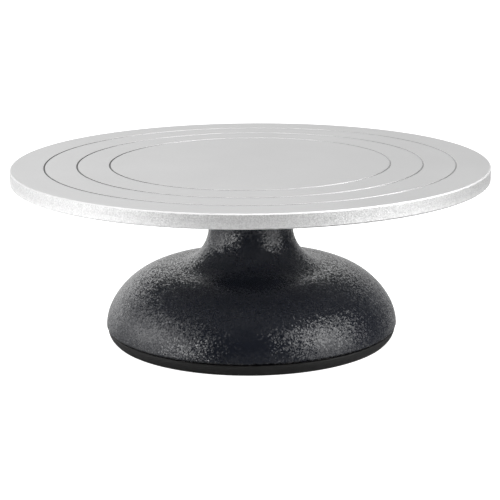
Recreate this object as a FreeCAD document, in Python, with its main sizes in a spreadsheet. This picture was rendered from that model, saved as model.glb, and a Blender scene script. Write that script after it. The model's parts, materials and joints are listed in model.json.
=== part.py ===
import FreeCAD, Part
import math
import os

import Sketcher
from FreeCAD import Placement, Rotation, Vector

# Cake turntable: a cast aluminium plate on a spindle that turns in two deep-groove ball bearings,
# inside the neck of a hollow cast-iron base that stands on a screwed-on rubber sole.
#
# Millimetres, +Z up, origin on the worktop in the middle of the sole. Every piece is round about Z.

SIZES = {
    # the whole object
    "height": 112.0,  # worktop to the plate's top face
    "edge_break": 0.7,  # chamfer on turned edges
    "running_play": 0.05,  # round the balls, and in sliding and threaded fits
    "hole_play": 0.3,  # round a screw that passes through
    # turntable plate
    "plate_radius": 150.0,
    "rim_thickness": 9.0,
    "rim_width": 9.0,  # the skirt round the underside
    "web_thickness": 5.0,
    "rim_round": 0.9,  # the rim's lower outer edge
    "inner_guide": 88.0,  # radius of the smallest guide groove
    "guide_pitch": 20.35,
    "guide_width": 1.2,  # across the top of a groove, whose walls slope at 45 degrees
    "guide_floor": 0.2,
    "rib_thickness": 4.0,
    "rib_setback": 1.0,  # from the skirt's lower edge up to the ribs'
    "hub_radius": 27.0,
    "hub_depth": 15.0,  # below the web
    "hub_blend": 5.0,
    # spindle
    "flange_radius": 25.0,
    "flange_thickness": 5.0,
    "spigot_radius": 9.0,
    "spigot_height": 5.0,
    "spigot_room": 1.0,  # air above the spigot, in the hub
    "collar_radius": 10.0,
    "shaft_radius": 7.5,
    "shaft_tail": 3.5,  # below the circlip
    # M5 screws with a hexagon socket
    "screw_radius": 2.5,
    "screw_length": 14.0,
    "screw_tip": 0.5,
    "socket_flats": 3.0,
    "socket_depth": 1.4,
    "sunk_head_radius": 4.8,
    "pan_head_radius": 4.75,
    "pan_head_height": 2.0,
    "plate_screw_circle": 18.0,
    # the two 15 x 35 x 11 ball bearings
    "ring_width": 11.0,
    "ring_outer": 17.5,
    "ring_wall": 2.9,
    "ring_chamfer": 0.5,
    "ball_radius": 3.0,
    "race_radius": 3.12,  # of the raceways' section, and of the cage's pockets
    "shield_sheet": 0.4,
    "shield_gap": 0.5,  # between a shield and the inner ring
    "cage_width": 1.6,
    "cage_back": 3.9,  # below the balls' middle plane
    "cage_front": 1.2,  # above it
    "bearing_span": 28.5,  # between the bearings' facing sides
    # clips, washer, seal and cap
    "washer_sheet": 0.5,
    "shaft_groove": 7.15,
    "shaft_clip_width": 2.2,
    "shaft_clip_sheet": 1.0,
    "bore_groove": 18.5,
    "bore_clip_width": 3.0,
    "bore_clip_sheet": 1.5,
    "clip_slack": 0.1,  # between a clip and its groove's far side
    "lug_radius": 1.8,
    "lug_hole": 0.8,
    "lug_inset": 0.4,  # from the clip's edge to the lugs' centres
    "seal_radius": 20.0,
    "seal_thickness": 3.0,
    "cap_wall": 1.5,
    "cap_depth": 4.0,
    "cap_flange": 3.5,
    # base casting
    "neck_gap": 2.5,  # under the spindle's flange
    "neck_radius": 26.8,
    "neck_chamfer": 1.0,
    "neck_fillet": 24.9,
    "dome_radius": 47.0,
    "dome_centre": 47.9,
    "shoulder_radius": 29.3,
    "base_radius": 92.8,
    "seam_height": 7.7,
    "skirt_round": 1.4,  # the casting's lower outer edge
    "wall": 6.5,
    "column_radius": 24.5,
    "column_foot": 22.0,
    "roof_fillet": 7.0,
    "bore_radius": 15.0,  # between the bearings' seats
    "web_thickness_below": 5.0,
    "web_foot": 18.0,
    "web_top": 40.5,
    "web_reach": 67.0,
    "boss_circle": 68.0,
    "boss_radius": 6.0,
    "boss_top": 36.0,
    # sole
    "sole_plate_radius": 88.0,
    "sole_plate_sheet": 2.0,
    "seam_gap": 0.8,  # the shadow line between casting and rubber
    "lip_inset": 0.8,  # from the casting's side in to the rubber's
    "lip_round": 0.4,
    "sole_side_radius": 9.2,
    "sole_foot_radius": 88.9,
    "tread_inner": 77.0,
    "tread_rise": 1.2,
    "ridge_start": 22.0,
    "ridge_pitch": 11.0,
    "ridge_width": 3.0,
    "ridge_height": 0.8,
    "well_radius": 7.0,
    "sole_washer_radius": 6.0,
    "sole_washer_sheet": 1.0,
}
GUIDE_GROOVES = 3
PLATE_RIBS = 8
SCREWS = 4  # in the plate's hub, and again in the sole
BALLS = 8  # in each bearing
SOLE_RIDGES = 4
OVERCUT = 1.0  # how far a cut runs past a face, or a rib runs into its neighbours
CLIP_GAP = math.radians(36.0)
LUG_SPREAD = math.radians(7.0)  # from an end of the clip to its lug's centre

doc = FreeCAD.newDocument("cake_turntable")


class Size:
    """A length from the sheet, or a sum of such lengths: its value, and the expression that binds it."""

    def __init__(self, value, text):
        self.value = value
        self.text = text

    def __add__(self, other):
        other = as_size(other)
        return Size(self.value + other.value, f"({self.text} + {other.text})")

    def __sub__(self, other):
        other = as_size(other)
        return Size(self.value - other.value, f"({self.text} - {other.text})")

    def __mul__(self, factor):
        return Size(self.value * factor, f"({self.text} * {factor})")

    def __truediv__(self, divisor):
        return Size(self.value / divisor, f"({self.text} / {divisor})")


class Sheet:
    """The sheet's lengths by name, each as a Size."""

    def __getattr__(self, name):
        return Size(SIZES[name], f"Sizes.{name}")


def as_size(length):
    return length if isinstance(length, Size) else Size(float(length), f"{float(length)}")


def make_sheet():
    cells = doc.addObject("Spreadsheet::Sheet", "Sizes")
    for row, (name, value) in enumerate(SIZES.items(), start=1):
        cells.set(f"A{row}", name)
        cells.set(f"B{row}", str(value))
        cells.setAlias(f"B{row}", name)
    doc.recompute()


make_sheet()
S = Sheet()

# The bearings' radii
BALL_CIRCLE = (S.shaft_radius + S.ring_outer) / 2
INNER_LAND = S.shaft_radius + S.ring_wall
OUTER_LAND = S.ring_outer - S.ring_wall
SHIELD_SEAT = OUTER_LAND + S.shield_sheet

# Levels, from the top down
WEB_UNDER = S.height - S.web_thickness
RIM_UNDER = S.height - S.rim_thickness
HUB_UNDER = WEB_UNDER - S.hub_depth
FLANGE_UNDER = HUB_UNDER - S.flange_thickness
NECK_TOP = FLANGE_UNDER - S.neck_gap
UPPER_TOP = NECK_TOP - S.seal_thickness
UPPER_UNDER = UPPER_TOP - S.ring_width
LOWER_TOP = UPPER_UNDER - S.bearing_span
LOWER_UNDER = LOWER_TOP - S.ring_width
WASHER_UNDER = LOWER_UNDER - S.washer_sheet
SHAFT_END = WASHER_UNDER - S.shaft_clip_sheet - S.clip_slack - S.shaft_tail
LIP_TOP = S.seam_height - S.seam_gap
SOLE_PLATE_UNDER = S.seam_height - S.sole_plate_sheet


# ---- sketching -------------------------------------------------------------------------------------


def origin_feature(body, role):
    return next(f for f in body.Origin.OriginFeatures if f.Role == role)


def new_body(name):
    body = doc.addObject("PartDesign::Body", name)
    body.Label = name
    return body


def new_sketch(body, name, plane="XZ_Plane", lift=None):
    """An empty sketch on one of the body's origin planes, lifted along the plane's normal."""
    sketch = body.newObject("Sketcher::SketchObject", name)
    sketch.AttachmentSupport = [(origin_feature(body, plane), "")]
    sketch.MapMode = "FlatFace"
    if lift is not None:
        sketch.AttachmentOffset = Placement(Vector(0, 0, lift.value), Rotation())
        sketch.setExpression("AttachmentOffset.Base.z", lift.text)
    return sketch


def offset_sketch(body, name, across):
    """An upright sketch whose own axis stands at (across, 0)."""
    sketch = new_sketch(body, name)
    sketch.AttachmentOffset = Placement(Vector(across.value, 0, 0), Rotation())
    sketch.setExpression("AttachmentOffset.Base.x", across.text)
    return sketch


def bind(sketch, kind, *references, length):
    """Adds a dimension to the sketch and binds it to the sheet."""
    length = as_size(length)
    index = sketch.addConstraint(Sketcher.Constraint(kind, *references, length.value))
    name = f"size{index}"
    sketch.renameConstraint(index, name)
    sketch.setExpression(f"Constraints.{name}", length.text)


def pin_point(sketch, geometry, end, across, up):
    """Holds a point of the sketch at (across, up) from its origin."""
    for kind, length, axis in (("DistanceX", across, -2), ("DistanceY", up, -1)):
        if abs(as_size(length).value) < 1e-9:
            sketch.addConstraint(Sketcher.Constraint("PointOnObject", geometry, end, axis))
        else:
            bind(sketch, kind, -1, 1, geometry, end, length=length)


def arc_through(start, end, radius, clockwise):
    """The short arc of that radius from start to end, drawn the way FreeCAD draws arcs."""
    chord = end - start
    middle = (start + end) * 0.5
    rise = math.sqrt(max(radius**2 - (chord.Length / 2) ** 2, 0.0))
    side = Vector(chord.y, -chord.x, 0).normalize() * (rise if clockwise else -rise)
    centre = middle + side
    first, last = (end, start) if clockwise else (start, end)
    angles = [math.atan2(p.y - centre.y, p.x - centre.x) for p in (first, last)]
    circle = Part.Circle(centre, Vector(0, 0, 1), radius)
    return Part.ArcOfCircle(circle, angles[0], angles[1])


class Corner:
    """A corner of an outline. turn is the radius of the arc on to the next corner, if that isn't a
    straight line; clockwise is that arc's sense. A smooth corner is found by tangency, so its place
    is only where drawing starts."""

    def __init__(self, across, up, turn=None, clockwise=False, smooth=False):
        self.across = as_size(across)
        self.up = as_size(up)
        self.turn = turn
        self.clockwise = clockwise
        self.smooth = smooth

    def point(self):
        return Vector(self.across.value, self.up.value, 0)


def draw_outline(sketch, corners):
    """Draws a closed outline and returns the geometry number of each side."""
    corners = [c if isinstance(c, Corner) else Corner(*c) for c in corners]
    sides = []
    for i, corner in enumerate(corners):
        start, end = corner.point(), corners[(i + 1) % len(corners)].point()
        if corner.turn is None:
            sides.append((sketch.addGeometry(Part.LineSegment(start, end)), 1, 2))
        else:
            arc = arc_through(start, end, as_size(corner.turn).value, corner.clockwise)
            ends = (2, 1) if corner.clockwise else (1, 2)
            sides.append((sketch.addGeometry(arc), *ends))
    for i, corner in enumerate(corners):
        before, _, arrives = sides[i - 1]
        after, leaves, _ = sides[i]
        join = "Tangent" if corner.smooth else "Coincident"
        sketch.addConstraint(Sketcher.Constraint(join, before, arrives, after, leaves))
        if not corner.smooth:
            pin_point(sketch, after, leaves, corner.across, corner.up)
        if corner.turn is not None:
            bind(sketch, "Radius", after, length=corner.turn)
    return [side[0] for side in sides]


def draw_circle(sketch, across, up, radius):
    across, up, radius = as_size(across), as_size(up), as_size(radius)
    centre = Vector(across.value, up.value, 0)
    circle = sketch.addGeometry(Part.Circle(centre, Vector(0, 0, 1), radius.value))
    pin_point(sketch, circle, 3, across, up)
    bind(sketch, "Radius", circle, length=radius)


def outline_sketch(body, name, corners, plane="XZ_Plane", lift=None):
    sketch = new_sketch(body, name, plane, lift)
    draw_outline(sketch, corners)
    return sketch


# ---- features --------------------------------------------------------------------------------------


def changed(body, feature, adds):
    """Recomputes, and stops if a feature that should add or cut material did neither."""
    before = body.Tip.BaseFeature.Shape.Volume if body.Tip and body.Tip.BaseFeature else 0.0
    doc.recompute()
    after = feature.Shape.Volume
    if (after > before + 1e-3) != adds or abs(after - before) < 1e-3:
        raise RuntimeError(f"{body.Label}.{feature.Name} changed {before:.2f} to {after:.2f}")
    return feature


def turn(body, name, sketch, cut=False):
    """A full turn of the sketch about its upright axis, added or cut."""
    kind = "PartDesign::Groove" if cut else "PartDesign::Revolution"
    feature = body.newObject(kind, name)
    feature.Profile = sketch
    feature.ReferenceAxis = (sketch, ["V_Axis"])
    feature.Angle = 360.0
    sketch.Visibility = False
    return changed(body, feature, adds=not cut)


def pad(body, name, sketch, length, midplane=False):
    feature = body.newObject("PartDesign::Pad", name)
    feature.Profile = sketch
    feature.Midplane = midplane
    feature.Length = as_size(length).value
    feature.setExpression("Length", as_size(length).text)
    return changed(body, feature, adds=True)


def pocket(body, name, sketch, length, reverse=False):
    """Cuts against the sketch's normal, or along it if reverse."""
    feature = body.newObject("PartDesign::Pocket", name)
    feature.Profile = sketch
    feature.Reversed = reverse
    feature.Length = as_size(length).value
    feature.setExpression("Length", as_size(length).text)
    return changed(body, feature, adds=False)


def repeat(body, name, features, count):
    """Repeats features evenly about Z."""
    pattern = body.newObject("PartDesign::PolarPattern", name)
    pattern.Originals = features
    pattern.Axis = (origin_feature(body, "Z_Axis"), [""])
    pattern.Angle = 360.0
    pattern.Occurrences = count
    body.Tip = pattern
    doc.recompute()
    return pattern


def cylinder(name, radius, bottom, height):
    solid = doc.addObject("Part::Cylinder", name)
    solid.setExpression("Radius", as_size(radius).text)
    solid.setExpression("Height", as_size(height).text)
    solid.setExpression("Placement.Base.z", as_size(bottom).text)
    return solid


def tube(name, outer, inner, bottom, height):
    """A plain ring between two radii."""
    ring = doc.addObject("Part::Cut", name)
    ring.Base = cylinder(f"{name}_outside", outer, bottom, height)
    ring.Tool = cylinder(f"{name}_inside", inner, bottom, height)
    ring.Label = name
    return ring


def group(name, members):
    """Separate solids kept together as one sub-part."""
    compound = doc.addObject("Part::Compound", name)
    compound.Links = members
    compound.Label = name
    return compound


# ---- turntable plate -------------------------------------------------------------------------------


def turntable_plate():
    """The cast plate: a web with a skirt round its edge, radial ribs and a central hub below, and three
    turned grooves on top that centre a cake."""
    body = new_body("turntable_plate")
    skirt = S.plate_radius - S.rim_width
    bore_top = HUB_UNDER + S.spigot_height + S.spigot_room
    section = outline_sketch(
        body,
        "plate_section",
        [
            (0, bore_top),
            (S.spigot_radius + S.running_play, bore_top),
            (S.spigot_radius + S.running_play, HUB_UNDER),
            (S.hub_radius - S.edge_break, HUB_UNDER),
            (S.hub_radius, HUB_UNDER + S.edge_break),
            Corner(S.hub_radius, WEB_UNDER - S.hub_blend, turn=S.hub_blend, clockwise=True),
            (S.hub_radius + S.hub_blend, WEB_UNDER),
            (skirt, WEB_UNDER),
            (skirt, RIM_UNDER),
            Corner(S.plate_radius - S.rim_round, RIM_UNDER, turn=S.rim_round),
            (S.plate_radius, RIM_UNDER + S.rim_round),
            (S.plate_radius, S.height - S.edge_break),
            (S.plate_radius - S.edge_break, S.height),
            (0, S.height),
        ],
    )
    turn(body, "plate_turned", section)
    guides = new_sketch(body, "guide_sections")
    groove_floor = S.height - (S.guide_width - S.guide_floor) / 2
    for i in range(GUIDE_GROOVES):
        middle = S.inner_guide + S.guide_pitch * i
        draw_outline(
            guides,
            [
                (middle - S.guide_width / 2 - OVERCUT, S.height + OVERCUT),
                (middle - S.guide_floor / 2, groove_floor),
                (middle + S.guide_floor / 2, groove_floor),
                (middle + S.guide_width / 2 + OVERCUT, S.height + OVERCUT),
            ],
        )
    turn(body, "guide_grooves", guides, cut=True)
    rib_foot = RIM_UNDER + S.rib_setback
    rib = outline_sketch(
        body,
        "rib_side",
        [
            (S.hub_radius - OVERCUT, rib_foot),
            (skirt + OVERCUT, rib_foot),
            (skirt + OVERCUT, WEB_UNDER + OVERCUT),
            (S.hub_radius - OVERCUT, WEB_UNDER + OVERCUT),
        ],
    )
    rib_pad = pad(body, "rib", rib, S.rib_thickness, midplane=True)
    repeat(body, "ribs", [rib_pad], PLATE_RIBS)
    tapped = new_sketch(body, "tapped_hole", "XY_Plane", HUB_UNDER)
    draw_circle(tapped, S.plate_screw_circle, 0, S.screw_radius + S.running_play)
    depth = S.screw_length - S.flange_thickness + S.spigot_room
    hole = pocket(body, "plate_screw_hole", tapped, depth, reverse=True)
    repeat(body, "plate_screw_holes", [hole], SCREWS)
    return body


# ---- spindle and what turns with it ----------------------------------------------------------------


def spindle():
    """The stepped shaft: a spigot and flange under the plate's hub, a collar that sits on the upper
    bearing, the journal for both bearings, and a circlip groove."""
    body = new_body("spindle")
    clip_top = WASHER_UNDER
    clip_foot = WASHER_UNDER - S.shaft_clip_sheet - S.clip_slack
    section = outline_sketch(
        body,
        "spindle_section",
        [
            (0, SHAFT_END),
            (S.shaft_radius - S.edge_break, SHAFT_END),
            (S.shaft_radius, SHAFT_END + S.edge_break),
            (S.shaft_radius, clip_foot),
            (S.shaft_groove, clip_foot),
            (S.shaft_groove, clip_top),
            (S.shaft_radius, clip_top),
            (S.shaft_radius, UPPER_TOP),
            (S.collar_radius, UPPER_TOP),
            (S.collar_radius, FLANGE_UNDER),
            (S.flange_radius - S.edge_break, FLANGE_UNDER),
            (S.flange_radius, FLANGE_UNDER + S.edge_break),
            (S.flange_radius, HUB_UNDER),
            (S.spigot_radius, HUB_UNDER),
            (S.spigot_radius, HUB_UNDER + S.spigot_height - S.edge_break),
            (S.spigot_radius - S.edge_break, HUB_UNDER + S.spigot_height),
            (0, HUB_UNDER + S.spigot_height),
        ],
    )
    turn(body, "spindle_turned", section)
    centre = new_sketch(body, "screw_hole_circle", "XY_Plane", FLANGE_UNDER)
    draw_circle(centre, S.plate_screw_circle, 0, S.screw_radius + S.hole_play)
    drilled = pocket(body, "screw_hole", centre, S.flange_thickness, reverse=True)
    repeat(body, "screw_holes", [drilled], SCREWS)
    head = S.sunk_head_radius + S.running_play
    sink = offset_sketch(body, "countersink_section", S.plate_screw_circle)
    draw_outline(sink, [(0, FLANGE_UNDER), (head, FLANGE_UNDER), (0, FLANGE_UNDER + head)])
    cone = turn(body, "countersink", sink, cut=True)
    repeat(body, "countersinks", [cone], SCREWS)
    return body


def screws(name, circle, bottom, section):
    """Screws that point up, with a hexagon socket in the underside of the head, as separate solids on
    a circle about Z."""
    body = new_body(name)
    body.AllowCompound = True
    outline = offset_sketch(body, f"{name}_section", circle)
    draw_outline(outline, section)
    blank = turn(body, f"{name}_turned", outline)
    socket = new_sketch(body, f"{name}_hexagon", "XY_Plane", bottom)
    corner = S.socket_flats / math.sqrt(3)
    half_side = corner / 2
    half_flats = S.socket_flats / 2
    draw_outline(
        socket,
        [
            (circle + corner, 0),
            (circle + half_side, half_flats),
            (circle - half_side, half_flats),
            (circle - corner, 0),
            (circle - half_side, half_flats * -1),
            (circle + half_side, half_flats * -1),
        ],
    )
    hexagon = pocket(body, f"{name}_socket", socket, S.socket_depth, reverse=True)
    repeat(body, f"{name}_all", [blank, hexagon], SCREWS)
    return body


def screw_shank(under_head, end):
    """The section's corners from under the head to the tip."""
    shank = S.screw_radius
    return [(shank, under_head), (shank, end - S.screw_tip), (shank - S.screw_tip, end), (0, end)]


def plate_screws():
    """Countersunk screws, up through the spindle's flange into the plate's hub."""
    head = S.sunk_head_radius
    cone_top = FLANGE_UNDER + head - S.screw_radius
    shank = screw_shank(cone_top, FLANGE_UNDER + S.screw_length)
    section = [(0, FLANGE_UNDER), (head, FLANGE_UNDER), *shank]
    return screws("plate_screws", S.plate_screw_circle, FLANGE_UNDER, section)


def clip(name, ring_radius, width, sheet, bottom, inward):
    """A retaining ring with a gap and two pierced lugs. It grips a shaft with its lugs outward, or
    springs out into a bore with its lugs inward."""
    inner = ring_radius - width if inward else ring_radius
    outer = ring_radius if inward else ring_radius + width
    lug_circle = inner - S.lug_inset if inward else outer + S.lug_inset
    body = new_body(name)
    ring = new_sketch(body, f"{name}_ring", "XY_Plane", bottom)
    draw_circle(ring, 0, 0, inner)
    draw_circle(ring, 0, 0, outer)
    pad(body, f"{name}_band", ring, sheet)
    reach = outer + S.lug_radius
    half_gap = reach * math.tan(CLIP_GAP / 2)
    wedge = [(0, 0), (reach, half_gap * -1), (reach, half_gap)]
    gap = outline_sketch(body, f"{name}_gap", wedge, "XY_Plane", bottom)
    pocket(body, f"{name}_opening", gap, sheet, reverse=True)
    lugs = new_sketch(body, f"{name}_lugs", "XY_Plane", bottom)
    holes = new_sketch(body, f"{name}_lug_holes", "XY_Plane", bottom)
    for side in (-1, 1):
        angle = side * (CLIP_GAP / 2 + LUG_SPREAD)
        across = lug_circle * math.cos(angle)
        up = lug_circle * math.sin(angle)
        draw_circle(lugs, across, up, S.lug_radius)
        draw_circle(holes, across, up, S.lug_hole)
    pad(body, f"{name}_lug_pads", lugs, sheet)
    pocket(body, f"{name}_lug_bores", holes, sheet, reverse=True)
    return body


def shaft_parts():
    """The spacer tube between the bearings' inner rings, and the washer and circlip below them."""
    bore = S.shaft_radius + S.running_play
    grip = S.shaft_groove + S.running_play
    sheet = S.shaft_clip_sheet
    foot = WASHER_UNDER - sheet
    return [
        tube("inner_spacer", INNER_LAND, bore, LOWER_TOP, S.bearing_span),
        tube("shaft_washer", INNER_LAND, bore, WASHER_UNDER, S.washer_sheet),
        clip("shaft_circlip", grip, S.shaft_clip_width, sheet, foot, inward=False),
    ]


# ---- ball bearings ---------------------------------------------------------------------------------


def ring_section(inner, outer, foot, top):
    """A ring's square section with its four edges broken."""
    c = S.ring_chamfer
    return [
        (inner + c, foot),
        (outer - c, foot),
        (outer, foot + c),
        (outer, top - c),
        (outer - c, top),
        (inner + c, top),
        (inner, top - c),
        (inner, foot + c),
    ]


def race(body, name, centre, level):
    """Cuts the balls' groove into a ring, a little rounder than the balls."""
    sketch = new_sketch(body, f"{name}_race")
    draw_circle(sketch, centre, level, S.race_radius)
    turn(body, f"{name}_raceway", sketch, cut=True)


def sphere(name, radius, level):
    ball = doc.addObject("Part::Sphere", name)
    ball.setExpression("Radius", radius.text)
    ball.setExpression("Placement.Base.z", level.text)
    return ball


def spheres(name, radius, level):
    """A ring of spheres on the bearing's ball circle."""
    members = []
    for i in range(BALLS):
        ball = sphere(f"{name}_{i + 1}", radius, level)
        angle = f"{360.0 * i / BALLS} deg"
        ball.setExpression("Placement.Base.x", f"{BALL_CIRCLE.text} * cos({angle})")
        ball.setExpression("Placement.Base.y", f"{BALL_CIRCLE.text} * sin({angle})")
        members.append(ball)
    return group(name, members)


def inner_ring(where, bottom):
    body = new_body(f"{where}_inner_ring")
    section = ring_section(S.shaft_radius, INNER_LAND, bottom, bottom + S.ring_width)
    turn(body, f"{where}_inner_turned", outline_sketch(body, f"{where}_inner_section", section))
    centre = BALL_CIRCLE - S.ball_radius - S.running_play + S.race_radius
    race(body, f"{where}_inner", centre, bottom + S.ring_width / 2)
    return body


def outer_ring(where, bottom):
    """The outer ring, with a step at each end that holds a shield."""
    body = new_body(f"{where}_outer_ring")
    c, step = S.ring_chamfer, S.shield_sheet * 2
    top = bottom + S.ring_width
    section = [
        (SHIELD_SEAT, bottom),
        (S.ring_outer - c, bottom),
        (S.ring_outer, bottom + c),
        (S.ring_outer, top - c),
        (S.ring_outer - c, top),
        (SHIELD_SEAT, top),
        (SHIELD_SEAT, top - step),
        (OUTER_LAND, top - step),
        (OUTER_LAND, bottom + step),
        (SHIELD_SEAT, bottom + step),
    ]
    turn(body, f"{where}_outer_turned", outline_sketch(body, f"{where}_outer_section", section))
    centre = BALL_CIRCLE + S.ball_radius + S.running_play - S.race_radius
    race(body, f"{where}_outer", centre, bottom + S.ring_width / 2)
    return body


def shields(where, bottom):
    sheet = S.shield_sheet
    edge = INNER_LAND + S.shield_gap
    upper = bottom + S.ring_width - sheet * 2
    members = [
        tube(f"{where}_shield_over_balls", SHIELD_SEAT, edge, upper, sheet),
        tube(f"{where}_shield_under_balls", SHIELD_SEAT, edge, bottom + sheet, sheet),
    ]
    return group(f"{where}_shields", members)


def cage(where, level):
    """The ring with open-topped pockets that spaces the balls."""
    half = S.cage_width / 2
    body = doc.addObject("Part::Cut", f"{where}_cage")
    body.Base = tube(
        f"{where}_cage_ring",
        BALL_CIRCLE + half,
        BALL_CIRCLE - half,
        level - S.cage_back,
        S.cage_back + S.cage_front,
    )
    body.Tool = spheres(f"{where}_cage_pockets", S.race_radius, level)
    body.Label = f"{where}_cage"
    return body


def bearing(where, bottom):
    """One shielded deep-groove ball bearing."""
    level = bottom + S.ring_width / 2
    balls = spheres(f"{where}_balls", S.ball_radius, level)
    rings = [inner_ring(where, bottom), outer_ring(where, bottom)]
    return [*rings, shields(where, bottom), balls, cage(where, level)]


# ---- base casting and what is fixed in it ----------------------------------------------------------


def bell_corners(side, foot, shoulder, dome, fillet, column, hollow):
    """The corners from the widest point (side, foot), up over the shoulder and dome arcs, to where a
    fillet meets the upright line at column. The shoulder arc's centre is at the seam's height. On the
    outside of the bell the fillet is the neck's flare; in the hollow it rounds the roof's corner."""
    seam = S.seam_height.value
    shoulder_x = side.value - shoulder.value
    across = S.dome_centre.value - shoulder_x
    dome_z = seam - math.sqrt((dome.value - shoulder.value) ** 2 - across**2)
    dome_centre = Vector(S.dome_centre.value, dome_z, 0)
    to_shoulder = (Vector(shoulder_x, seam, 0) - dome_centre).normalize()
    fillet_x = column.value + fillet.value
    reach = dome.value - fillet.value if hollow else dome.value + fillet.value
    rise = math.sqrt(reach**2 - (fillet_x - dome_centre.x) ** 2)
    fillet_centre = Vector(fillet_x, dome_z + rise, 0)
    to_fillet = (fillet_centre - dome_centre).normalize()
    over = dome_centre + to_shoulder * dome.value
    under = dome_centre + to_fillet * dome.value
    return [
        Corner(side, foot, turn=shoulder),
        Corner(over.x, over.y, turn=dome, smooth=True),
        Corner(under.x, under.y, turn=fillet, clockwise=not hollow, smooth=True),
        Corner(column.value, fillet_centre.y, smooth=True),
    ]


def draw_bell(sketch, before, bell, after):
    """Draws an outline that holds a bell's corners, and the three dimensions tangency leaves open."""
    sides = draw_outline(sketch, before + bell + after)
    shoulder_arc, dome_arc, _, upright = sides[len(before) : len(before) + 4]
    bind(sketch, "DistanceY", -1, 1, shoulder_arc, 3, length=S.seam_height)
    bind(sketch, "DistanceX", -1, 1, dome_arc, 3, length=S.dome_centre)
    sketch.addConstraint(Sketcher.Constraint("Vertical", upright))


def base_casting():
    """The mushroom-shaped casting: neck, flare and dome, hollow below, with the bearing column down its
    middle, and webs out to the bosses that take the sole's screws."""
    body = new_body("base_casting")
    skin = new_sketch(body, "skin_section")
    bell = bell_corners(
        S.base_radius,
        S.seam_height + S.skirt_round,
        S.shoulder_radius,
        S.dome_radius,
        S.neck_fillet,
        S.neck_radius,
        hollow=False,
    )
    c = S.neck_chamfer
    draw_bell(
        skin,
        [
            Corner(0, S.seam_height),
            Corner(S.base_radius - S.skirt_round, S.seam_height, turn=S.skirt_round),
        ],
        bell,
        [
            Corner(S.neck_radius, NECK_TOP - c),
            Corner(S.neck_radius - c, NECK_TOP),
            Corner(0, NECK_TOP),
        ],
    )
    turn(body, "skin", skin)

    hollow = new_sketch(body, "hollow_section")
    below = S.seam_height - OVERCUT
    inner_side = S.base_radius - S.wall
    bell = bell_corners(
        inner_side,
        S.seam_height,
        S.shoulder_radius - S.wall,
        S.dome_radius - S.wall,
        S.roof_fillet,
        S.column_radius,
        hollow=True,
    )
    draw_bell(
        hollow,
        [Corner(0, below), Corner(inner_side, below)],
        bell,
        [Corner(S.column_radius, S.column_foot), Corner(0, S.column_foot)],
    )
    turn(body, "hollow", hollow, cut=True)

    rib = outline_sketch(
        body,
        "web_side",
        [
            (S.column_radius - OVERCUT, S.column_foot + OVERCUT),
            (S.web_reach, S.web_foot),
            (S.web_reach, S.web_top),
            (S.column_radius - OVERCUT, S.web_top),
        ],
    )
    rib_pad = pad(body, "web", rib, S.web_thickness_below, midplane=True)
    repeat(body, "webs", [rib_pad], SCREWS)
    boss = new_sketch(body, "boss_circle_sketch", "XY_Plane", S.seam_height)
    draw_circle(boss, S.boss_circle, 0, S.boss_radius)
    boss_pad = pad(body, "boss", boss, S.boss_top - S.seam_height)
    repeat(body, "bosses", [boss_pad], SCREWS)
    tapped = new_sketch(body, "boss_hole_circle", "XY_Plane", S.seam_height)
    draw_circle(tapped, S.boss_circle, 0, S.screw_radius + S.running_play)
    hole = pocket(body, "boss_hole", tapped, S.screw_length, reverse=True)
    repeat(body, "boss_holes", [hole], SCREWS)

    clip_foot = LOWER_UNDER - S.bore_clip_sheet - S.clip_slack
    bore = outline_sketch(
        body,
        "bore_section",
        [
            (0, S.column_foot - OVERCUT),
            (S.ring_outer, S.column_foot - OVERCUT),
            (S.ring_outer, clip_foot),
            (S.bore_groove, clip_foot),
            (S.bore_groove, LOWER_UNDER),
            (S.ring_outer, LOWER_UNDER),
            (S.ring_outer, LOWER_TOP),
            (S.bore_radius, LOWER_TOP),
            (S.bore_radius, UPPER_UNDER),
            (S.ring_outer, UPPER_UNDER),
            (S.ring_outer, UPPER_TOP),
            (S.seal_radius, UPPER_TOP),
            (S.seal_radius, NECK_TOP + OVERCUT),
            (0, NECK_TOP + OVERCUT),
        ],
    )
    turn(body, "stepped_bore", bore, cut=True)
    return body


def dust_cap():
    """The cup that closes the column's foot."""
    body = new_body("dust_cap")
    foot = S.column_foot - S.cap_wall
    lip = S.ring_outer + S.cap_flange
    top = S.column_foot + S.cap_depth
    inside = S.ring_outer - S.cap_wall
    section = [
        (0, foot),
        (lip, foot),
        (lip, S.column_foot),
        (S.ring_outer, S.column_foot),
        (S.ring_outer, top),
        (inside, top),
        (inside, S.column_foot),
        (0, S.column_foot),
    ]
    turn(body, "cap_turned", outline_sketch(body, "cap_section", section))
    return body


def housing_parts():
    """The felt seal over the upper bearing, the circlip under the lower one, and the dust cap."""
    eye = S.collar_radius + S.hole_play
    grip = S.bore_groove - S.running_play
    sheet = S.bore_clip_sheet
    return [
        tube("felt_seal", S.seal_radius, eye, UPPER_TOP, S.seal_thickness),
        clip("housing_circlip", grip, S.bore_clip_width, sheet, LOWER_UNDER - sheet, inward=True),
        dust_cap(),
    ]


# ---- sole ------------------------------------------------------------------------------------------


def sole_plate():
    """The steel disc that closes the base and backs the rubber."""
    body = new_body("sole_plate")
    disc = new_sketch(body, "disc_circle", "XY_Plane", SOLE_PLATE_UNDER)
    draw_circle(disc, 0, 0, S.sole_plate_radius)
    pad(body, "disc", disc, S.sole_plate_sheet)
    drilled = new_sketch(body, "disc_hole_circle", "XY_Plane", SOLE_PLATE_UNDER)
    draw_circle(drilled, S.boss_circle, 0, S.screw_radius + S.hole_play)
    hole = pocket(body, "disc_hole", drilled, S.sole_plate_sheet, reverse=True)
    repeat(body, "disc_holes", [hole], SCREWS)
    return body


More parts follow.
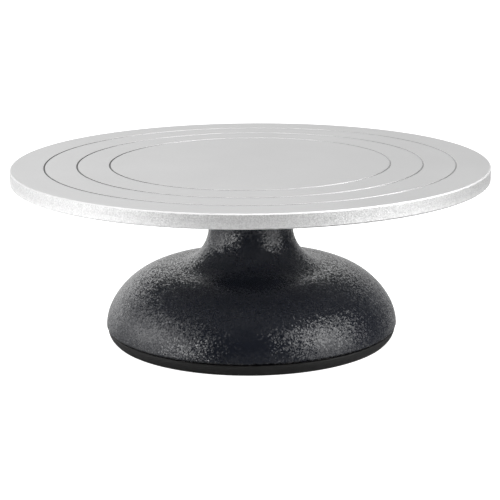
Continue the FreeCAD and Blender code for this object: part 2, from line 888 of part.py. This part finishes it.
def rubber_sole():
    """The moulded rubber that the base stands on: a rounded edge that carries the casting's curve down
    to the worktop, a flat tread ring, ridges on the raised middle, and wells for the screw heads."""
    body = new_body("rubber_sole")
    recess = S.sole_plate_radius + S.hole_play
    lip = S.base_radius - S.lip_inset
    ridge_foot = S.tread_rise - S.ridge_height
    ridges = []
    for i in reversed(range(SOLE_RIDGES)):
        inner = S.ridge_start + S.ridge_pitch * i
        outer = inner + S.ridge_width
        ridges += [
            (outer, S.tread_rise),
            (outer, ridge_foot),
            (inner, ridge_foot),
            (inner, S.tread_rise),
        ]
    section = outline_sketch(
        body,
        "sole_section",
        [
            (0, SOLE_PLATE_UNDER),
            (recess, SOLE_PLATE_UNDER),
            (recess, LIP_TOP),
            (lip - S.lip_round, LIP_TOP),
            Corner(lip, LIP_TOP - S.lip_round, turn=S.sole_side_radius, clockwise=True),
            (S.sole_foot_radius, S.lip_round),
            (S.sole_foot_radius - S.lip_round, 0),
            (S.tread_inner, 0),
            (S.tread_inner, S.tread_rise),
            *ridges,
            (0, S.tread_rise),
        ],
    )
    turn(body, "sole_moulded", section)
    well = new_sketch(body, "well_circle", "XY_Plane", SOLE_PLATE_UNDER)
    draw_circle(well, S.boss_circle, 0, S.well_radius)
    hole = pocket(body, "well", well, SOLE_PLATE_UNDER)
    repeat(body, "wells", [hole], SCREWS)
    return body


def sole_fasteners():
    """Pan-head screws and washers, up through the sole plate into the casting's bosses."""
    washer_under = SOLE_PLATE_UNDER - S.sole_washer_sheet
    head_under = washer_under - S.pan_head_height
    head, c = S.pan_head_radius, S.edge_break
    shank = screw_shank(washer_under, washer_under + S.screw_length)
    section = [
        (0, head_under),
        (head - c, head_under),
        (head, head_under + c),
        (head, washer_under),
        *shank,
    ]
    bolts = screws("sole_screws", S.boss_circle, head_under, section)
    washers = new_body("sole_washers")
    washers.AllowCompound = True
    ring = new_sketch(washers, "washer_circles", "XY_Plane", washer_under)
    draw_circle(ring, S.boss_circle, 0, S.sole_washer_radius)
    draw_circle(ring, S.boss_circle, 0, S.screw_radius + S.hole_play)
    first = pad(washers, "washer", ring, S.sole_washer_sheet)
    repeat(washers, "washers", [first], SCREWS)
    return [bolts, washers]


# ---- build, check and write ------------------------------------------------------------------------


def check(sub_parts):
    doc.recompute()
    for item in doc.Objects:
        if "Invalid" in item.State or "Error" in item.State:
            raise RuntimeError(f"{item.Name} failed: {item.State}")
    for part in sub_parts:
        shape = part.Shape
        if shape.isNull() or not shape.isValid() or not shape.Solids:
            raise RuntimeError(f"{part.Label} has no valid solid")
        print(f"{part.Label}: {len(shape.Solids)} solid(s), {shape.Volume / 1000:.2f} cm3")


def main():
    sub_parts = [turntable_plate(), spindle(), plate_screws(), *shaft_parts()]
    sub_parts += bearing("upper", UPPER_UNDER)
    sub_parts += bearing("lower", LOWER_UNDER)
    sub_parts += [base_casting(), *housing_parts()]
    sub_parts += [sole_plate(), rubber_sole(), *sole_fasteners()]
    check(sub_parts)
    os.makedirs("parts", exist_ok=True)
    for part in sub_parts:
        part.Shape.exportStep(f"parts/{part.Label}.step")


main()
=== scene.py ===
import json
import math

import bpy
from mathutils import Matrix, Vector


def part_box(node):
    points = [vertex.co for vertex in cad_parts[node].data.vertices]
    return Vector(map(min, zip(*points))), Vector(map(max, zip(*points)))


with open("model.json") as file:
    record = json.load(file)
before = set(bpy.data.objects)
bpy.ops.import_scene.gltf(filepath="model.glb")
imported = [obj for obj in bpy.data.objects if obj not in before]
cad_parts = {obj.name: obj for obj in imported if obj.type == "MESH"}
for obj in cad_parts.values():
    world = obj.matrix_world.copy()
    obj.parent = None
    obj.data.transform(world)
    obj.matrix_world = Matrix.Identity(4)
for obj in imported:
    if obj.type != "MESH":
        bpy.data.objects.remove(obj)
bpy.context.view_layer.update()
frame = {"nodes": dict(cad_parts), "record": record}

# A cake turntable on a pale studio table. Metres throughout, in the model's own frame: +Z up,
# origin on the table under the middle of the sole.

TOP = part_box("turntable_plate")[1].z  # the plate's face
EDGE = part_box("turntable_plate")[1].x  # the plate's radius
ROUNDING = 0.002  # in from the plate's outside, past its rounded edges
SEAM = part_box("base_casting")[0].z  # the casting's lower edge

# Wear, painted shade and painted light: where each begins, and where it is complete
GROOVE_SHADE_DEPTH = (0.00004, 0.00008)  # below the plate's face: the grooves, painted dark as shade
RIM_PAINTED_LIGHT = (0.0045, 0.008)  # below the plate's face, where the rim's lower half is painted lighter, as light from the table below
COAT_WORN = (0.0014, 0.0004)  # above the casting's lower edge
RUBBER_SCUFFED = (0.0011, 0.0003)  # above the table

# The camera stands in front of the turntable and looks down at it a little
CAMERA_DISTANCE = 1.0005  # from the turntable's axis, level
CAMERA_ABOVE_PLATE = 0.1898
CAMERA_PITCH = math.radians(13.86)  # downward
CAMERA_YAW = math.radians(0.033)  # to the left
CAMERA_ROLL = math.radians(-0.465)
CAMERA_LENS = 116.4  # mm
CAMERA_SENSOR = 36.0  # mm

MIDDLE = (0.3, 0.7)  # a noise from 0 to 1 hardly ever leaves this range

FLOOR_HALF = 12.0  # half the side of the square floor
FLOOR_SHADE_SPAN = 0.35  # the floor's colour is painted darker, as shade, from this far left of the axis to this far right


# ---- node graphs --------------------------------------------------------------------------


class Graph:
    """A material's or the world's nodes, with short calls for the kinds used here."""

    def __init__(self, tree):
        self.tree = tree
        self.tree.nodes.clear()

    def add(self, kind, inputs=(), **settings):
        """A new node. Each input is a plain value or another node's output, keyed by the
        input's name or number."""
        node = self.tree.nodes.new(kind)
        for name, value in settings.items():
            setattr(node, name, value)
        for key, value in dict(inputs).items():
            if isinstance(value, bpy.types.NodeSocket):
                self.tree.links.new(value, node.inputs[key])
            else:
                node.inputs[key].default_value = value
        return node

    def math(self, operation, a, b=0.0):
        return self.add("ShaderNodeMath", {0: a, 1: b}, operation=operation).outputs[0]

    def vector_math(self, operation, a, b):
        return self.add("ShaderNodeVectorMath", {0: a, 1: b}, operation=operation).outputs[0]

    def noise(self, place, scale, detail=2.0, roughness=0.5):
        """Soft noise from 0 to 1, with about scale swings to the metre."""
        inputs = {"Vector": place, "Scale": scale, "Detail": detail, "Roughness": roughness}
        return self.add("ShaderNodeTexNoise", inputs).outputs["Fac"]

    def fit(self, value, low, high, to_low=0.0, to_high=1.0):
        """The value, stretched from low..high to to_low..to_high and clamped there."""
        inputs = {"From Min": low, "From Max": high, "To Min": to_low, "To Max": to_high}
        return self.add("ShaderNodeMapRange", {"Value": value, **inputs}).outputs[0]

    def mix(self, factor, a, b):
        """Colour a where the factor is 0, and colour b where it is 1."""
        inputs = {"Factor": factor, 6: a, 7: b}  # the node has an A and a B for each kind of data
        return self.add("ShaderNodeMix", inputs, data_type="RGBA").outputs[2]

    def patchy(self, amount, place, scale, low, high):
        """The amount, kept only in the patches where a noise of the given scale is high."""
        patches = self.fit(self.noise(place, scale, detail=4.0, roughness=0.7), low, high)
        return self.math("MULTIPLY", amount, patches)

    def bump(self, height, distance, strength=1.0, over=None):
        """The surface's normal over relief whose height of 1 stands for the given distance."""
        inputs = {"Height": height, "Distance": distance, "Strength": strength}
        if over is not None:
            inputs["Normal"] = over
        return self.add("ShaderNodeBump", inputs).outputs[0]

    def facets(self, place, scale, tilt):
        """The surface's normal, tipped a little at random in each cell of a crazed pattern."""
        cells = self.add("ShaderNodeTexVoronoi", {"Vector": place, "Scale": scale})
        centred = self.vector_math("SUBTRACT", cells.outputs["Color"], (0.5, 0.5, 0.5))
        tip = self.add("ShaderNodeVectorMath", {0: centred, "Scale": tilt}, operation="SCALE")
        normal = self.add("ShaderNodeNewGeometry").outputs["Normal"]
        return self.vector_math("ADD", normal, tip.outputs[0])


def rgb(red, green, blue):
    return (red, green, blue, 1.0)


def grey(value):
    return rgb(value, value, value)


def dimmed(colour, share):
    return rgb(*(share * channel for channel in colour[:3]))


def new_material(name):
    """A new material, its empty graph, and the place on the object in metres."""
    material = bpy.data.materials.new(name)
    material.use_nodes = True
    graph = Graph(material.node_tree)
    place = graph.add("ShaderNodeTexCoord").outputs["Object"]
    return material, graph, place


def finish_material(graph, **inputs):
    """Ends a graph in a Principled shader. Base_Color stands for its input Base Color, and so
    on."""
    named = {key.replace("_", " "): value for key, value in inputs.items()}
    shader = graph.add("ShaderNodeBsdfPrincipled", named)
    graph.add("ShaderNodeOutputMaterial", {"Surface": shader.outputs[0]})


def split(graph, vector):
    """A vector's X, Y and Z."""
    return graph.add("ShaderNodeSeparateXYZ", {0: vector}).outputs


# ---- materials ----------------------------------------------------------------------------


def powder_coat():
    """Blue-black textured powder coat: glossy, crazed into cells under a millimetre across, over
    close lumps and a slow swell, and worn to grey in patches along the casting's lower edge."""
    material, graph, place = new_material("powder_coat")
    normal = graph.facets(place, 1400.0, tilt=0.34)
    lumps = graph.noise(place, 800.0, detail=1.5, roughness=0.6)
    normal = graph.bump(lumps, distance=0.00012, over=normal)
    swell = graph.noise(place, 170.0)
    normal = graph.bump(swell, distance=0.0003, over=normal)

    cloud = graph.fit(graph.noise(place, 25.0, detail=3.0), *MIDDLE)
    tone = graph.mix(cloud, rgb(0.010, 0.012, 0.018), rgb(0.015, 0.017, 0.024))
    worn = graph.fit(split(graph, place)["Z"], SEAM + COAT_WORN[0], SEAM + COAT_WORN[1])
    worn = graph.patchy(worn, place, 320.0, 0.50, 0.60)
    tone = graph.mix(worn, tone, grey(0.055))

    gloss = graph.noise(place, 180.0)
    roughness = graph.fit(gloss, *MIDDLE, 0.08, 0.13)
    roughness = graph.math("ADD", roughness, graph.math("MULTIPLY", worn, 0.25))
    finish_material(graph, Base_Color=tone, Roughness=roughness, Normal=normal)
    return material


def plate_metal():
    """Satin aluminium: smooth and faintly turned on top, sandy as cast everywhere else. The
    grooves are painted dark as shade, darkest at the front left. The rim's rounded edges are
    rubbed bright, and its lower half is painted lighter in patches, as light from the table
    below."""
    material, graph, place = new_material("plate_metal")

    # Masks: 1 on the part of the surface that each is named for
    x, y, z = split(graph, place)
    squares = graph.math("ADD", graph.math("POWER", x, 2.0), graph.math("POWER", y, 2.0))
    radius = graph.math("SQRT", squares)
    inside = graph.math("LESS_THAN", radius, EDGE - ROUNDING)
    upward = split(graph, graph.add("ShaderNodeNewGeometry").outputs["True Normal"])["Z"]
    cast = graph.fit(upward, 0.55, 0.35)  # every face steeper than about 60 degrees
    under = graph.fit(upward, -0.3, -0.9)
    slope = graph.math("ABSOLUTE", upward)
    rounded = graph.math("MULTIPLY", graph.fit(slope, 0.15, 0.45), graph.fit(slope, 0.98, 0.90))
    edge = graph.math("MULTIPLY", rounded, graph.math("SUBTRACT", 1.0, inside))

    # Relief
    normal = graph.facets(place, 1500.0, tilt=graph.math("MULTIPLY", cast, 0.16))
    along_radius = graph.add("ShaderNodeCombineXYZ", {"X": radius}).outputs[0]
    turning = graph.noise(along_radius, 2600.0, detail=1.0)
    normal = graph.bump(turning, distance=0.00001, strength=0.5, over=normal)
    sand = graph.noise(place, 1000.0, detail=3.0, roughness=0.8)
    normal = graph.bump(graph.math("MULTIPLY", sand, cast), distance=0.00012, over=normal)

    # Tone, and the wear, painted shade and painted light over it
    cloud = graph.fit(graph.noise(place, 14.0, detail=3.0), *MIDDLE)
    turned_tone = graph.mix(cloud, grey(0.82), grey(0.86))
    speck = graph.fit(graph.noise(place, 1250.0, detail=2.0, roughness=0.7), 0.38, 0.62)
    cast_tone = graph.mix(speck, grey(0.68), grey(0.85))
    tone = graph.mix(cast, turned_tone, cast_tone)
    # Painted light: the rim's lower half is lighter in patches, as if lit from the table below
    low = graph.fit(z, TOP - RIM_PAINTED_LIGHT[0], TOP - RIM_PAINTED_LIGHT[1])
    painted_rim_light = graph.math("MULTIPLY", cast, low)
    rim_light_patches = graph.fit(graph.noise(place, 300.0, detail=3.0), 0.35, 0.60, 0.2, 0.7)
    tone = graph.mix(graph.math("MULTIPLY", painted_rim_light, rim_light_patches), tone, grey(0.93))
    # Painted shade: the grooves are darkened, darkest at the front left and lighter towards the
    # back right
    sunk = graph.fit(z, TOP - GROOVE_SHADE_DEPTH[0], TOP - GROOVE_SHADE_DEPTH[1])
    across = graph.math("ADD", x, graph.math("MULTIPLY", y, 0.5))
    painted_groove_shade = graph.mix(graph.fit(across, -0.05, 0.03), grey(0.12), grey(0.50))
    tone = graph.mix(graph.math("MULTIPLY", sunk, inside), tone, painted_groove_shade)
    tone = graph.mix(under, tone, grey(0.66))
    rubbed = graph.patchy(edge, place, 240.0, 0.42, 0.58)
    tone = graph.mix(rubbed, tone, grey(0.82))

    grain = graph.noise(place, 900.0)
    roughness = graph.fit(grain, *MIDDLE, 0.38, 0.46)
    unturned = graph.math("MAXIMUM", cast, edge)
    roughness = graph.math("ADD", roughness, graph.math("MULTIPLY", unturned, 0.22))
    finish_material(graph, Base_Color=tone, Metallic=1.0, Roughness=roughness, Normal=normal)
    return material


def rubber():
    """Matt black moulded rubber, dusty, and scuffed to grey in patches at its foot."""
    material, graph, place = new_material("rubber")
    skin = graph.noise(place, 1400.0, detail=3.0, roughness=0.6)
    normal = graph.bump(skin, distance=0.00006)
    dust = graph.noise(place, 40.0, detail=4.0, roughness=0.6)
    tone = graph.mix(graph.fit(dust, 0.4, 0.75), grey(0.007), grey(0.013))
    scuffed = graph.fit(split(graph, place)["Z"], *RUBBER_SCUFFED)
    scuffed = graph.patchy(scuffed, place, 260.0, 0.46, 0.60)
    tone = graph.mix(scuffed, tone, grey(0.035))
    roughness = graph.fit(dust, *MIDDLE, 0.5, 0.62)
    finish_material(graph, Base_Color=tone, Roughness=roughness, Normal=normal)
    return material


def steel(name, tone, roughness, grain_scale=1800.0):
    """Machined or plated steel with a fine grain and faint clouding."""
    material, graph, place = new_material(name)
    grain = graph.noise(place, grain_scale)
    normal = graph.bump(grain, distance=0.00002, strength=0.6)
    cloud = graph.noise(place, 90.0, detail=3.0)
    shade = graph.mix(graph.fit(cloud, *MIDDLE), dimmed(tone, 0.86), tone)
    blur = graph.fit(grain, *MIDDLE, roughness - 0.05, roughness + 0.05)
    finish_material(graph, Base_Color=shade, Metallic=1.0, Roughness=blur, Normal=normal)
    return material


def dull(name, tone, roughness, grain_scale, grain_height):
    """Plastic or felt: no metal in it, with a grain of the given size and height."""
    material, graph, place = new_material(name)
    grain = graph.noise(place, grain_scale, detail=4.0, roughness=0.65)
    normal = graph.bump(grain, distance=grain_height)
    shade = graph.mix(graph.fit(grain, *MIDDLE), dimmed(tone, 0.75), tone)
    finish_material(graph, Base_Color=shade, Roughness=roughness, Normal=normal)
    return material


def dress_nodes():
    """Gives every CAD node the material of its slot."""
    bearing = steel("bearing_steel", grey(0.66), 0.16)
    by_slot = {
        "plate_aluminium": plate_metal(),
        "base_iron": powder_coat(),
        "sole_rubber": rubber(),
        "spindle_steel": steel("turned_steel", grey(0.52), 0.3),
        "screw_steel": steel("zinc_plate", rgb(0.62, 0.61, 0.57), 0.3),
        "spring_steel": steel("spring_steel", rgb(0.12, 0.11, 0.10), 0.35),
        "bearing_steel": bearing,
        "ball_steel": bearing,
        "shield_steel": steel("sheet_steel", grey(0.6), 0.25),
        "sole_steel": steel("zinc_sheet", rgb(0.55, 0.55, 0.54), 0.35, 700.0),
        "cage_nylon": dull("nylon", rgb(0.7, 0.62, 0.42), 0.45, 900.0, 0.00002),
        "seal_felt": dull("felt", rgb(0.3, 0.29, 0.27), 0.95, 1500.0, 0.0003),
        "cap_plastic": dull("cap_plastic", grey(0.03), 0.5, 1500.0, 0.00005),
    }
    slot_of = {part["node"]: part["material_slot"] for part in frame["record"]["subparts"]}
    for name, node in frame["nodes"].items():
        for socket in node.material_slots:
            socket.material = by_slot[slot_of[name]]


# ---- studio -------------------------------------------------------------------------------


def add_camera():
    """The photo's viewpoint, found from the plate's edge, its grooves and the base's outline."""
    data = bpy.data.cameras.new("camera")
    data.sensor_width = CAMERA_SENSOR
    data.lens = CAMERA_LENS
    data.clip_start = 0.01
    camera = bpy.data.objects.new("camera", data)
    bpy.context.scene.collection.objects.link(camera)
    place = Matrix.Translation((0.0, -CAMERA_DISTANCE, TOP + CAMERA_ABOVE_PLATE))
    pitch = Matrix.Rotation(math.pi / 2 - CAMERA_PITCH, 4, "X")
    yaw = Matrix.Rotation(CAMERA_YAW, 4, "Z")
    roll = Matrix.Rotation(CAMERA_ROLL, 4, "Z")
    camera.matrix_world = place @ yaw @ pitch @ roll
    bpy.context.scene.camera = camera


def add_floor():
    """A pale table, painted darker to the right as shade, where the studio is dimmer. The camera
    sees it white, so that it looks as clean as the paper of a catalogue picture."""
    half = FLOOR_HALF
    mesh = bpy.data.meshes.new("floor")
    corners = [(-half, -half, 0), (half, -half, 0), (half, half, 0), (-half, half, 0)]
    mesh.from_pydata(corners, [], [(0, 1, 2, 3)])
    floor = bpy.data.objects.new("floor", mesh)
    bpy.context.scene.collection.objects.link(floor)
    material, graph, place = new_material("white_table")
    # Painted shade: the table's colour darkens to the right, where the studio is dimmer
    shade_rightward = graph.fit(split(graph, place)["X"], -FLOOR_SHADE_SPAN, FLOOR_SHADE_SPAN)
    tone = graph.mix(shade_rightward, grey(0.66), grey(0.30))
    seen = graph.add("ShaderNodeLightPath").outputs["Is Camera Ray"]
    finish_material(
        graph,
        Base_Color=tone,
        Roughness=0.2,
        Specular_IOR_Level=1.0,
        Emission_Color=grey(1.0),
        Emission_Strength=seen,
    )
    mesh.materials.append(material)


def softbox(name, azimuth, elevation, distance, size, radiance):
    """An area light that faces the turntable. Azimuth 0 is the camera's side, and 90 its right.
    The size is its width and height. A radiance of 1 is that of a wall the camera sees white."""
    width, height = size
    turn, lift = math.radians(azimuth), math.radians(elevation)
    level = math.cos(lift)
    away = Vector((math.sin(turn) * level, -math.cos(turn) * level, math.sin(lift)))
    data = bpy.data.lights.new(name, "AREA")
    data.shape = "RECTANGLE"
    data.size = width
    data.size_y = height
    data.energy = math.pi * width * height * radiance
    light = bpy.data.objects.new(name, data)
    light.location = away * distance + Vector((0.0, 0.0, TOP / 2))
    light.rotation_mode = "QUATERNION"
    light.rotation_quaternion = away.to_track_quat("Z", "Y")
    bpy.context.scene.collection.objects.link(light)


def add_lights():
    """A white tent, brightest behind the turntable and to its left, that fades overhead and on
    the camera's side. A softbox with a brighter core stands at each side of the camera, a small
    one stands nearer to it on the left, and three hang high: right, left and over the front."""
    world = bpy.data.worlds.new("studio")
    bpy.context.scene.world = world
    world.use_nodes = True
    graph = Graph(world.node_tree)
    x, y, z = split(graph, graph.add("ShaderNodeTexCoord").outputs["Generated"])
    wall = graph.math("SUBTRACT", 0.92, graph.math("MULTIPLY", x, 0.86))
    wall = graph.math("MULTIPLY", wall, graph.fit(y, 0.0, 0.85))  # none on the camera's side
    wall = graph.math("MULTIPLY", wall, graph.fit(z, 0.78, 0.24))  # none above 51 degrees
    strength = graph.math("ADD", wall, 0.03)
    seen = graph.add("ShaderNodeLightPath").outputs["Is Camera Ray"]
    strength = graph.math("MAXIMUM", strength, seen)
    background = graph.add("ShaderNodeBackground", {"Color": grey(1.0), "Strength": strength})
    graph.add("ShaderNodeOutputWorld", {"Surface": background.outputs[0]})
    softbox("left_softbox", -73.0, 14.0, distance=1.2, size=(1.6, 1.2), radiance=1.5)
    softbox("left_bulb", -84.0, 14.0, distance=1.15, size=(0.4, 0.5), radiance=2.0)
    softbox("left_near_bulb", -54.0, 8.0, distance=1.1, size=(0.25, 0.32), radiance=5.8)
    softbox("right_softbox", 61.0, 22.0, distance=1.2, size=(1.15, 1.1), radiance=2.4)
    softbox("right_bulb", 60.0, 24.0, distance=1.15, size=(0.45, 0.45), radiance=3.4)
    softbox("high_right_softbox", 97.0, 58.0, distance=1.3, size=(0.8, 0.9), radiance=3.5)
    softbox("high_left_softbox", -78.0, 62.0, distance=1.3, size=(0.6, 0.8), radiance=2.4)
    softbox("high_front_softbox", -5.0, 71.0, distance=1.3, size=(0.7, 0.35), radiance=3.6)


bpy.context.scene.view_settings.view_transform = "Standard"
dress_nodes()
add_floor()
add_lights()
add_camera()
